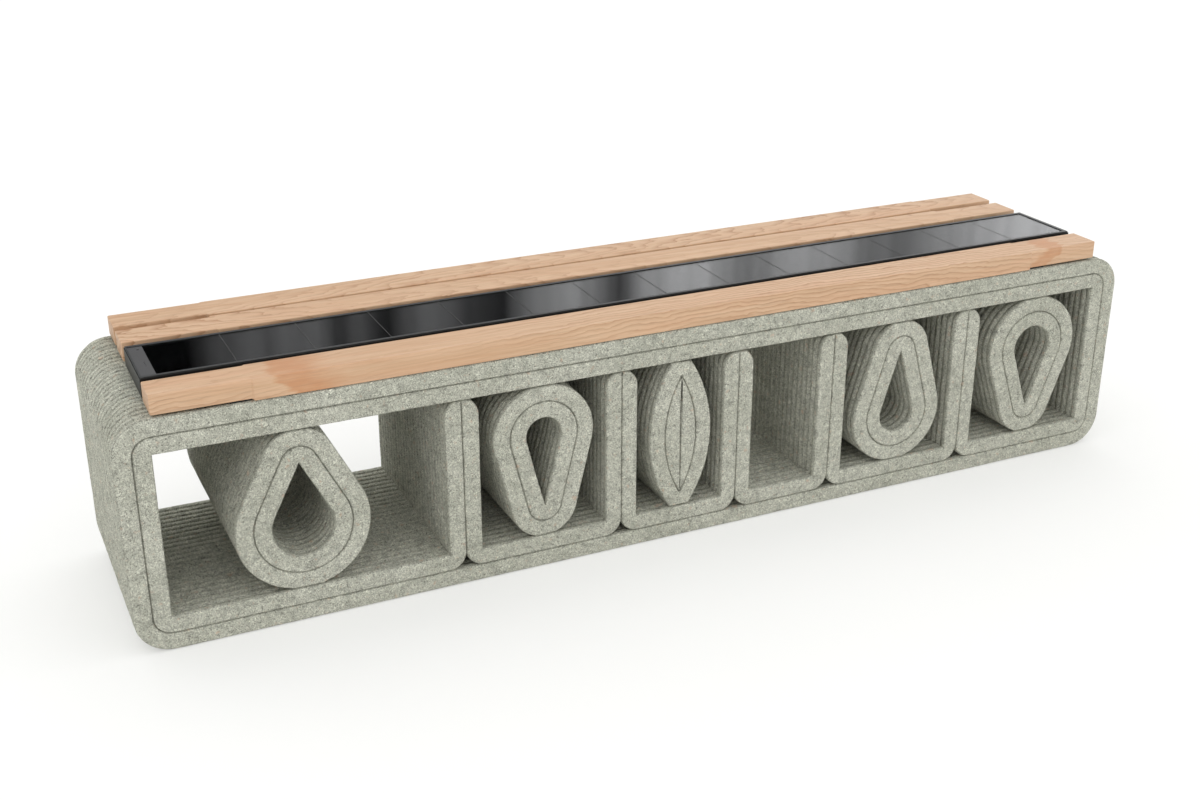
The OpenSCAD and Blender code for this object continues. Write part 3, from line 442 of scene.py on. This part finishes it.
class Tree:
    """Short way to build a material's or the world's nodes."""

    def __init__(self, owner):
        owner.use_nodes = True
        self.tree = owner.node_tree
        self.tree.nodes.clear()

    def feed(self, socket, value):
        """Link a socket to an input, or set a plain value there."""
        if isinstance(value, bpy.types.NodeSocket):
            self.tree.links.new(value, socket)
        else:
            socket.default_value = value

    def add(self, kind, inputs=None, **settings):
        made = self.tree.nodes.new(kind)
        for key, value in settings.items():
            setattr(made, key, value)
        for key, value in (inputs or {}).items():
            self.feed(made.inputs[key], value)
        return made

    def coords(self, scale=(1, 1, 1), offset=(0, 0, 0)):
        """The piece's own coordinates, stretched and shifted."""
        return self.stretched(self.add("ShaderNodeTexCoord").outputs["Object"], scale, offset)

    def stretched(self, vector, scale, offset=(0, 0, 0)):
        values = {"Vector": vector, "Scale": scale, "Location": offset}
        return self.add("ShaderNodeMapping", values).outputs[0]

    def split(self, vector):
        """X, Y and Z of a vector."""
        return self.add("ShaderNodeSeparateXYZ", {"Vector": vector}).outputs

    def facing(self, axis):
        """How squarely the surface faces along an axis, 0 to 1."""
        normal = self.add("ShaderNodeNewGeometry").outputs["Normal"]
        return self.math("ABSOLUTE", self.split(normal)[axis])

    def noise(self, vector, scale, detail=3.0, rough=0.5, distortion=0.0):
        values = {
            "Vector": vector, "Scale": scale, "Detail": detail, "Roughness": rough,
            "Distortion": distortion,
        }
        return self.add("ShaderNodeTexNoise", values).outputs["Fac"]

    def spread(self, value, low, high):
        """A value from 0 to 1, turned into low to high."""
        values = {"Value": value, "To Min": low, "To Max": high}
        return self.add("ShaderNodeMapRange", values).outputs[0]

    def ramp(self, value, stops):
        """Levels or colours at places from 0 to 1, with straight runs between them."""
        made = self.add("ShaderNodeValToRGB", {"Fac": value})
        ramp = made.color_ramp
        while len(ramp.elements) < len(stops):
            ramp.elements.new(0.5)
        for element, (place, level) in zip(ramp.elements, stops):
            element.position = place
            element.color = level if isinstance(level, tuple) else (level, level, level, 1.0)
        return made.outputs["Color"]

    def math(self, operation, a, b=0.0, c=0.0):
        return self.add("ShaderNodeMath", {0: a, 1: b, 2: c}, operation=operation).outputs[0]

    def mix(self, share, a, b, blend="MIX"):
        made = self.add("ShaderNodeMix", data_type="RGBA", blend_type=blend)
        for name, value in (("Factor_Float", share), ("A_Color", a), ("B_Color", b)):
            self.feed(next(s for s in made.inputs if s.identifier == name), value)
        return next(s for s in made.outputs if s.identifier == "Result_Color")

    def shaded(self, tone, value, stops):
        """A colour multiplied by the level that a ramp gives at a value."""
        return self.mix(1.0, tone, self.ramp(value, stops), "MULTIPLY")

    def bump(self, height, strength, distance, normal=None):
        values = {"Height": height, "Strength": strength, "Distance": distance}
        if normal:
            values["Normal"] = normal
        return self.add("ShaderNodeBump", values).outputs[0]

    def finish(self, **inputs):
        """The surface itself, with its inputs named as the shader names them."""
        values = {key.replace("_", " "): value for key, value in inputs.items()}
        shader = self.add("ShaderNodeBsdfPrincipled", values)
        self.add("ShaderNodeOutputMaterial", {"Surface": shader.outputs[0]})


# Colours of the concrete and the wood, as they are seen
CONCRETE_DARK = (0.722, 0.724, 0.668)
CONCRETE_LIGHT = (0.780, 0.780, 0.728)
JOINT_SHADE = (0.300, 0.300, 0.255)
WOOD_DARK = (0.775, 0.615, 0.470)
WOOD_LIGHT = (0.830, 0.692, 0.560)
WOOD_PALE = (0.852, 0.730, 0.605)
WOOD_PINK = (0.825, 0.655, 0.520)
WOOD_RING = (0.655, 0.460, 0.310)
WOOD_HEART = (0.768, 0.560, 0.400)
PIT_SHADE = (0.36, 0.36, 0.31)
WARM_SPECK = (0.80, 0.68, 0.58)

# How far the painted shade lines between layers wander
JOINT_WANDER = 0.0012

# Growth rings: how close they are, how little they change along the board, and how far broad and
# small waves shift them, in rings. Heartwood: how far its edges wobble.
RINGS_PER_METRE = 150.0
RING_ALONG = 0.10
RING_BEND = 7.0
RING_FLAME = 2.4
HEART_WOBBLE = 0.06

# Coats: how much their roughness varies, and the size and depth of their grain
COAT_SPREAD = 0.06
COAT_GRAIN = 900.0
COAT_DEPTH = 0.0002


def concrete_material():
    """Printed concrete: speckled, with painted shade at the joints of its layers and a rounded
    relief.
    """
    material = bpy.data.materials.new("printed_concrete")
    t = Tree(material)
    place = t.coords()
    patches = t.ramp(t.noise(place, 7.0, 4.0, 0.55), ((0.3, 0.0), (0.7, 1.0)))
    blotches = t.noise(place, 60.0, 4.0, 0.65, 0.6)
    grain = t.noise(place, 210.0, 2.0, 0.6, 1.4)
    fine = t.noise(place, 520.0, 1.5, 0.6, 0.5)
    pits = t.noise(place, 340.0, 1.0, 0.5)
    tone = t.mix(patches, linear(CONCRETE_DARK), linear(CONCRETE_LIGHT))
    tone = t.shaded(tone, blotches, ((0.28, 0.72), (0.5, 1.0), (0.75, 1.18)))
    tone = t.shaded(tone, grain, ((0.25, 0.45), (0.44, 0.9), (0.58, 1.06), (0.75, 1.4)))
    tone = t.shaded(tone, fine, ((0.28, 0.55), (0.5, 1.0), (0.74, 1.5)))
    tone = t.mix(t.ramp(pits, ((0.26, 0.75), (0.36, 0.0))), tone, linear(PIT_SHADE))
    warm = t.ramp(t.noise(place, 85.0, 2.0, 0.5), ((0.64, 0.0), (0.74, 0.5)))
    tone = t.mix(warm, tone, linear(WARM_SPECK))
    # How near a joint between two layers is: 0 in the middle of a layer, 1 at the joint
    wander = t.noise(place, 30.0, 2.0, 0.5)
    depth = t.math("MULTIPLY_ADD", wander, JOINT_WANDER, t.split(place)["Y"])
    start = LAYERS / 2 - JOINT_WANDER / 2 / LAYER
    layer = t.math("FRACT", t.math("MULTIPLY_ADD", depth, 1 / LAYER, start))
    joint = t.math("ABSOLUTE", t.math("MULTIPLY_ADD", layer, 2.0, -1.0))
    # Painted shade along the joints between layers, on sides that face across the layers
    across = t.ramp(t.facing("Y"), ((0.45, 1.0), (0.75, 0.0)))
    patchy = t.ramp(t.noise(place, 26.0, 3.0, 0.6), ((0.3, 0.7), (0.6, 1.0)))
    dark = t.ramp(joint, ((0.4, 0.0), (0.78, 0.36), (1.0, 0.88)))
    shade = t.math("MULTIPLY", dark, t.math("MULTIPLY", across, patchy))
    tone = t.mix(shade, tone, linear(JOINT_SHADE))
    round_layer = t.ramp(joint, ((0.0, 1.0), (0.55, 0.88), (0.85, 0.5), (1.0, 0.0)))
    ridge = t.math("MULTIPLY", round_layer, across)
    relief = t.bump(ridge, 0.75, 0.0030)
    relief = t.bump(blotches, 0.8, 0.0036, relief)
    relief = t.bump(grain, 1.0, 0.0026, relief)
    relief = t.bump(fine, 1.0, 0.0011, relief)
    t.finish(Base_Color=tone, Roughness=0.93, Normal=relief, Specular_IOR_Level=0.25)
    return material


def heart_share(t, centre, slope, half, soft, level):
    """Heartwood in one patch, from its middle on X, lean, half length, soft ends and level."""
    axes = t.split(t.coords())
    wobble = t.noise(t.coords((14, 60, 60)), 1.0, 3.0, 0.6)
    lean = t.math("MULTIPLY_ADD", axes["Z"], slope, axes["X"])
    line = t.math("MULTIPLY_ADD", wobble, HEART_WOBBLE, lean)
    left, right = centre - half, centre + half
    rise, fall = (
        t.add("ShaderNodeMapRange", {
            "Value": line, "From Min": start, "From Max": end, "To Min": first, "To Max": last,
        }, interpolation_type="SMOOTHSTEP").outputs[0]
        for start, end, first, last in (
            (left, left + soft[0], 0.0, 1.0), (right - soft[1], right, 1.0, 0.0),
        )
    )
    return t.math("MULTIPLY", t.math("MULTIPLY", rise, fall), level)


def wood_material(name, offset, pith, hearts):
    """Oiled softwood, with growth rings round the pith at (y, z) and darker heartwood patches."""
    material = bpy.data.materials.new(name)
    t = Tree(material)
    place = t.coords(offset=(offset, 0.37 * offset, 0.11 * offset))
    bend = t.noise(t.stretched(place, (1.3, 7, 7)), 1.0, 2.0, 0.5)
    streak = t.noise(t.stretched(place, (2.0, 34, 34)), 1.6, 4.0, 0.6, 0.7)
    fibre = t.noise(t.stretched(place, (8, 420, 420)), 1.0, 3.0, 0.65)
    pore = t.noise(t.stretched(place, (26, 800, 800)), 1.0, 1.0, 0.5)
    broad = t.noise(t.stretched(place, (1.7, 11, 11)), 1.0, 2.0, 0.5)
    flame = t.noise(t.stretched(place, (15, 34, 34)), 1.0, 3.0, 0.55)
    blush = t.noise(t.stretched(place, (1.6, 22, 22)), 1.4, 3.0, 0.6, 0.9)
    axis = t.coords((RING_ALONG, 1, 1), (RING_ALONG * offset, -pith[0], -pith[1]))
    radius = t.add("ShaderNodeVectorMath", {0: axis}, operation="LENGTH").outputs["Value"]
    bent = t.math("MULTIPLY_ADD", broad, RING_BEND, t.math("MULTIPLY", flame, RING_FLAME))
    rings = t.math("FRACT", t.math("MULTIPLY_ADD", radius, RINGS_PER_METRE, bent))
    base = t.mix(t.ramp(streak, ((0.3, 0.0), (0.66, 1.0))), linear(WOOD_DARK), linear(WOOD_LIGHT))
    base = t.mix(t.ramp(bend, ((0.35, 0.0), (0.75, 0.55))), base, linear(WOOD_PALE))
    base = t.mix(t.ramp(blush, ((0.45, 0.0), (0.7, 0.6))), base, linear(WOOD_PINK))
    late = t.ramp(rings, ((0.4, 0.0), (0.8, 0.42), (0.94, 0.85), (1.0, 0.0)))
    late = t.math("MULTIPLY", late, t.ramp(bend, ((0.38, 0.2), (0.62, 1.0))))
    base = t.mix(late, base, linear(WOOD_RING))
    for heart in hearts:
        cloud = t.noise(t.coords((16, 46, 46), (offset, 0, 0)), 1.0, 3.0, 0.6)
        cloud = t.ramp(cloud, ((0.36, 0.55), (0.6, 1.0)))
        share = t.math("MULTIPLY", heart_share(t, *heart), cloud)
        base = t.mix(share, base, linear(WOOD_HEART))
    base = t.shaded(base, t.facing("X"), ((0.6, 1.0), (0.95, 0.88)))
    base = t.shaded(base, fibre, ((0.25, 0.86), (0.5, 1.0), (0.8, 1.08)))
    base = t.shaded(base, pore, ((0.2, 0.78), (0.36, 1.0)))
    relief = t.bump(fibre, 0.3, 0.0004)
    t.finish(Base_Color=base, Roughness=0.5, Normal=relief, Specular_IOR_Level=0.6)
    return material


def coat_material(name, colour, roughness, metallic=0.0, gleam=0.5):
    """A coat, plastic or metal of one colour, with a fine grain and slightly uneven gloss."""
    material = bpy.data.materials.new(name)
    t = Tree(material)
    place = t.coords()
    fine = t.noise(place, COAT_GRAIN, 2.0, 0.6)
    broad = t.ramp(t.noise(place, 14.0, 3.0, 0.5), ((0.3, 0.0), (0.7, 1.0)))
    tone = t.mix(broad, linear(tuple(0.9 * c for c in colour)), linear(colour))
    gloss = t.spread(fine, roughness - COAT_SPREAD, roughness + COAT_SPREAD)
    relief = t.bump(fine, 0.3, COAT_DEPTH)
    t.finish(Base_Color=tone, Roughness=gloss, Normal=relief, Metallic=metallic,
             Specular_IOR_Level=gleam)
    return material


def glass_material():
    """Dark polished glass, with a thin matt line over each gap between two cell fields."""
    material = bpy.data.materials.new("panel_glass")
    t = Tree(material)
    fields = t.split(t.coords((1 / CELL_PITCH, 1, 1), (0.5 - FIELDS_END / CELL_PITCH, 0, 0)))
    offset = t.math("ABSOLUTE", t.math("SUBTRACT", t.math("FRACT", fields["X"]), 0.5))
    line = t.math("LESS_THAN", offset, LINE_HALF / CELL_PITCH)
    smear = t.noise(t.coords(), 6.0, 3.0, 0.5)
    gloss = t.math("MAXIMUM", t.spread(smear, *GLASS_POLISH), t.math("MULTIPLY", line, LINE_MATT))
    tone = t.mix(line, t.mix(smear, *GLASS_TINTS), linear(LINE_GREY))
    clear = t.math("SUBTRACT", 1.0, line)
    t.finish(Base_Color=tone, Roughness=gloss, IOR=GLASS_IOR, Transmission_Weight=clear)
    return material


def glass_pane():
    """The front glass, with eased edges and a fine score line between two cell fields."""
    low, high = (Vector(corner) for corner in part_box("front_glass"))
    low.z += GLASS_LIFT
    cells_x0 = Vector(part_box("solar_cells")[0]).x
    scores = []
    x = FIELDS_END - CELL_PITCH
    while x > cells_x0 - CELL_PITCH / 2:
        scores.append(x)
        x -= CELL_PITCH
    section = [(low.x, high.z - GLASS_EASE), (low.x + GLASS_EASE, high.z)]
    for x in reversed(scores):
        section += [(x - SCORE_HALF, high.z), (x, high.z - SCORE_DEPTH), (x + SCORE_HALF, high.z)]
    section += [(high.x - GLASS_EASE, high.z), (high.x, high.z - GLASS_EASE)]
    rows = (
        (low.y, high.z - GLASS_EASE), (low.y + GLASS_EASE, high.z),
        (high.y - GLASS_EASE, high.z), (high.y, high.z - GLASS_EASE),
    )
    verts = [(x, y, min(z, top)) for y, top in rows for x, z in section]
    verts += [(x, y, low.z) for x, y in (low.xy, (high.x, low.y), high.xy, (low.x, high.y))]
    count = len(section)
    faces = [
        (a, a + 1, a + count + 1, a + count)
        for row in range(len(rows) - 1)
        for a in range(row * count, (row + 1) * count - 1)
    ]
    # The bottom, then the front, rear, left and right sides
    base = len(rows) * count
    starts = range(0, base, count)
    faces.append([base + 3, base + 2, base + 1, base])
    faces.append([base, base + 1, *reversed(range(count))])
    faces.append([base + 2, base + 3, *range(starts[-1], base)])
    faces.append([base + 3, base, *starts])
    faces.append([base + 1, base + 2, *(start + count - 1 for start in reversed(starts))])
    mesh = bpy.data.meshes.new("glass_pane")
    mesh.from_pydata(verts, [], faces)
    mesh.update()
    pane = shown("glass_pane", mesh, GLASS)
    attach(pane, BODY)
    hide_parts("front_glass")


def slat(name, material, front_step, rear_step):
    """A wooden slat: rounded section, drawn in and thinner over both end stretches."""
    low, high = (Vector(corner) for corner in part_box(name))
    # Sections along the slat: (x, share of the end steps, how far the eased end is drawn in)
    stations = []
    for side, end in ((-1, low.x), (1, high.x)):
        for run in EASE_RUNS:
            stations.append((end - side * run, 1.0, SLAT_EASE * eased(run, SLAT_EASE)))
        for i in range(SHOULDER_STEPS + 1):
            share = 0.5 - 0.5 * math.cos(math.pi * i / SHOULDER_STEPS)
            x = SHOULDER_X + SHOULDER_RUN * (0.5 - i / SHOULDER_STEPS)
            stations.append((side * x, 1 - share, 0.0))
    stations.sort()
    verts, faces = [], []
    for x, end_share, draw in stations:
        r = SLAT_EDGE
        y0 = low.y + front_step * end_share + draw + r
        y1 = high.y - rear_step * end_share - draw - r
        z0 = low.z + SLAT_RISE * end_share + draw + r
        z1 = high.z - draw - r
        for y, z, start in ((y1, z0, -90), (y1, z1, 0), (y0, z1, 90), (y0, z0, 180)):
            for k in range(SLAT_ARC + 1):
                turn = math.radians(start + 90 * k / SLAT_ARC)
                verts.append((x, y + r * math.cos(turn), z + r * math.sin(turn)))
    count = 4 * (SLAT_ARC + 1)
    for low_row in range(0, (len(stations) - 1) * count, count):
        for i in range(count):
            j = (i + 1) % count
            next_row = low_row + count
            faces.append((low_row + i, low_row + j, next_row + j, next_row + i))
    faces.append(tuple(range(count))[::-1])
    faces.append(tuple(range((len(stations) - 1) * count, len(stations) * count)))
    mesh = bpy.data.meshes.new(f"{name}_wood")
    mesh.from_pydata(verts, [], faces)
    tool = bmesh.new()
    tool.from_mesh(mesh)
    bmesh.ops.recalc_face_normals(tool, faces=tool.faces)
    tool.to_mesh(mesh)
    tool.free()
    mesh.polygons.foreach_set("use_smooth", [len(face.vertices) == 4 for face in mesh.polygons])
    mesh.set_sharp_from_angle(angle=SLAT_CREASE)
    mesh.update()
    piece = shown(f"{name}_wood", mesh, material)
    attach(piece, BODY)
    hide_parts(name)


CONCRETE = concrete_material()

ring = rounded(BODY_LOW.x, BODY_LOW.z, BODY_HIGH.x, BODY_HIGH.z, 2 * BEAD, SEEN)
ring_hollow = rounded(*INNER_LOW, *INNER_HIGH, BEAD, HIDDEN).turned()
bead("outer_ring", "outer_bead", [ring, ring_hollow])
bead("top_run", "top_bead", [top_outline()])

for i in range(len(BAYS)):
    bead(f"bay_run_{i + 1}", f"bay_bead_{i + 1}", [bay_outline(i)])

for n in range(len(DROP_TIPS)):
    core = drop_outline(n, BEAD, HIDDEN)
    outer = drop_outline(n, 2 * BEAD, SEEN, cut=True)
    tunnel = drop_outline(n, 0.0, SEEN).turned()
    bead(f"drop_outer_{n + 1}", f"drop_outer_bead_{n + 1}", [outer, core.turned()])
    bead(f"drop_inner_{n + 1}", f"drop_inner_bead_{n + 1}", [core, tunnel])

leaf_outer, leaf_hollow, leaf_left, leaf_right = leaf_parts()
bead("leaf_outer", "leaf_outer_bead", [leaf_outer, leaf_hollow])
bead("leaf_left", "leaf_left_bead", [leaf_left])
bead("leaf_right", "leaf_right_bead", [leaf_right])

GLASS = glass_material()
glass_pane()
PLASTIC = coat_material("black_plastic", (0.10, 0.10, 0.10), 0.5)

# The finish of each material slot, and of the two nodes that differ from their slot's finish
SLOT_FINISH = {
    "black_steel": coat_material("black_coat", (0.100, 0.103, 0.103), 0.40, gleam=0.25),
    "grey_plate": coat_material("satin_plate", (0.275, 0.275, 0.280), 0.38),
    "zinc_steel": coat_material("zinc_steel", (0.72, 0.73, 0.74), 0.34, metallic=1.0),
    "silicon": coat_material("solar_cell", (0.05, 0.05, 0.06), 0.5, gleam=0.05),
    "clear_plastic": coat_material("light_pipe", (0.215, 0.215, 0.22), 0.22),
    "circuit_board": coat_material("board", (0.10, 0.36, 0.20), 0.45),
    "copper": coat_material("copper", (0.80, 0.50, 0.32), 0.3, metallic=1.0),
    "cell_sleeve": coat_material("cell_sleeve", (0.14, 0.30, 0.55), 0.35),
    "black_plastic": PLASTIC,
    "gasket_rubber": PLASTIC,
    "ferrite": PLASTIC,
    "lead_sheath": PLASTIC,
    "dark_glass": GLASS,
}
NODE_FINISH = {
    "bezel": coat_material("lip_coat", (0.205, 0.213, 0.216), 0.32, gleam=0.4),
    "cell_filler": coat_material("cell_filler", (0.06, 0.06, 0.065), 0.6, gleam=0.05),
}
SLOTS = {part["node"]: part["material_slot"] for part in frame["record"]["subparts"]}

# Heartwood patches of the front slat: (middle on X, lean, half length, soft ends, level)
HEARTS = (
    (-0.248, 0.9, 0.06, (0.012, 0.07), 1.0),
    (0.315, -1.2, 0.03, (0.02, 0.006), 1.0),
)
# Each slat's wood, as shift of the figure, pith at (y, z) and hearts, and its front and rear steps
SLATS = {
    "slat_front": ((0.0, (-0.24, 0.33), HEARTS), (SLAT_STEP, SLAT_STEP)),
    "slat_middle": ((3.1, (0.02, 0.36), ()), (SLAT_STEP, GAP_STEP)),
    "slat_rear": ((7.7, (0.24, 0.30), ()), (GAP_STEP, SLAT_STEP)),
}
for name, (wood, steps) in SLATS.items():
    slat(name, wood_material(f"wood_{name}", *wood), *steps)

for name, node in frame["nodes"].items():
    if SLOTS[name] == "concrete" or name in SLATS:
        continue
    node.data.materials.clear()
    node.data.materials.append(NODE_FINISH.get(name, SLOT_FINISH[SLOTS[name]]))

# Floor: its tone as lit, its tone and glow as seen by the camera, and the glow's share
FLOOR_HALF = 40.0
FLOOR_TONE = (0.92, 0.92, 0.91, 1.0)
FLOOR_SEEN = (1.0, 1.0, 0.985, 1.0)
FLOOR_GLOW = (0.985, 0.985, 0.98, 1.0)
FLOOR_GLOW_SHARE = 0.36


def floor_material():
    """White floor, which also glows a little for the camera, so that it runs into the backdrop."""
    material = bpy.data.materials.new("floor_white")
    t = Tree(material)
    seen = t.add("ShaderNodeLightPath").outputs["Is Camera Ray"]
    tone = t.mix(seen, FLOOR_TONE, FLOOR_SEEN)
    matt = t.add("ShaderNodeBsdfDiffuse", {"Color": tone}).outputs[0]
    glow = t.add("ShaderNodeEmission", {"Color": FLOOR_GLOW}).outputs[0]
    share = t.math("MULTIPLY", seen, FLOOR_GLOW_SHARE)
    surface = t.add("ShaderNodeMixShader", {"Fac": share, 1: matt, 2: glow}).outputs[0]
    t.add("ShaderNodeOutputMaterial", {"Surface": surface})
    return material


floor_mesh = bpy.data.meshes.new("floor")
corners = [(FLOOR_HALF * x, FLOOR_HALF * y, 0) for x, y in ((-1, -1), (1, -1), (1, 1), (-1, 1))]
floor_mesh.from_pydata(corners, [], [(0, 1, 2, 3)])
floor = shown("floor", floor_mesh, floor_material())

# What gloss reflects: soft upright panels with dark gaps, as (degrees from +Y towards +X, level)
STUDIO_FROM, STUDIO_TO = -30.0, 60.0
STUDIO = (
    (-30, 0.9), (-20, 0.3), (0, 0.0), (9.0, 0.0), (10.6, 0.22), (14, 0.3), (14.8, 0.03),
    (15.6, 0.25), (16.6, 0.0), (18.3, 0.32), (20, 0.12), (21.3, 0.02), (22.4, 0.45), (24.2, 0.75),
    (26, 0.1), (27, 0.8), (29.3, 1.05), (30.6, 0.45), (33.5, 0.85), (36.5, 0.3), (38.5, 0.65),
    (41, 1.15), (56, 1.2), (60, 1.0),
)
# The ceiling in the gloss: where it begins by the direction's Z, and its level, dark at the top
CEILING_SHARE = ((0.38, 0.0), (0.55, 1.0))
CEILING_LEVEL = ((0.75, 1.6), (0.92, 0.08))
# The sky as it lights the bench, and as the camera sees it
SKY_LIGHT = (1.085, 1.09, 1.085, 1.0)
SKY_SEEN = (0.982, 0.982, 0.982, 1.0)


def studio_world():
    """A plain white room to light the bench, with a studio of panels that only gloss reflects."""
    world = bpy.data.worlds.new("studio")
    t = Tree(world)
    path = t.add("ShaderNodeLightPath").outputs
    way = t.split(t.add("ShaderNodeTexCoord").outputs["Generated"])
    turn = t.math("ARCTAN2", way["X"], way["Y"])
    around = t.math("MULTIPLY_ADD", turn, 1 / math.tau, 0.5)
    span = STUDIO_TO - STUDIO_FROM
    share = t.math("MULTIPLY_ADD", turn, 360 / math.tau / span, -STUDIO_FROM / span)
    panels = t.ramp(share, [((degrees - STUDIO_FROM) / span, level) for degrees, level in STUDIO])
    streaks = t.noise(t.add("ShaderNodeCombineXYZ", {"X": around}).outputs[0], 260.0, 2.0, 0.6)
    studio = t.shaded(panels, streaks, ((0.3, 0.65), (0.52, 1.0), (0.72, 1.2)))
    ceiling = t.ramp(way["Z"], CEILING_LEVEL)
    studio = t.mix(t.ramp(way["Z"], CEILING_SHARE), studio, ceiling)
    light = t.mix(path["Is Glossy Ray"], SKY_LIGHT, studio)
    colour = t.mix(path["Is Camera Ray"], light, SKY_SEEN)
    sky = t.add("ShaderNodeBackground", {"Color": colour, "Strength": 1.0}).outputs[0]
    t.add("ShaderNodeOutputWorld", {"Surface": sky})
    return world


bpy.context.scene.world = studio_world()


def lamp(name, place, target, size, power):
    """A round soft lamp that gloss doesn't reflect."""
    data = bpy.data.lights.new(name, "AREA")
    data.shape = "DISK"
    data.size = size
    data.energy = power
    made = bpy.data.objects.new(name, data)
    made.location = place
    way = Vector(target) - Vector(place)
    made.rotation_euler = way.to_track_quat("-Z", "Y").to_euler()
    bpy.context.scene.collection.objects.link(made)
    made.visible_glossy = False


BENCH_MIDDLE = (0, 0, 0.2)
lamp("key", (-4.2, -2.4, 3.6), BENCH_MIDDLE, 3.0, 5)
lamp("top", (0.5, 0.9, 5.5), BENCH_MIDDLE, 4.0, 6)

# Camera at the photograph's place
camera_data = bpy.data.cameras.new("camera")
camera_data.sensor_width = 36.0
camera_data.lens = 45.8655
camera = bpy.data.objects.new("camera", camera_data)
camera.location = (-1.21418, -2.43259, 1.36453)
camera.rotation_euler = tuple(math.radians(a) for a in (66.7601, -0.0042, -25.1314))
bpy.context.scene.collection.objects.link(camera)
bpy.context.scene.camera = camera
bpy.context.scene.view_settings.view_transform = "Standard"
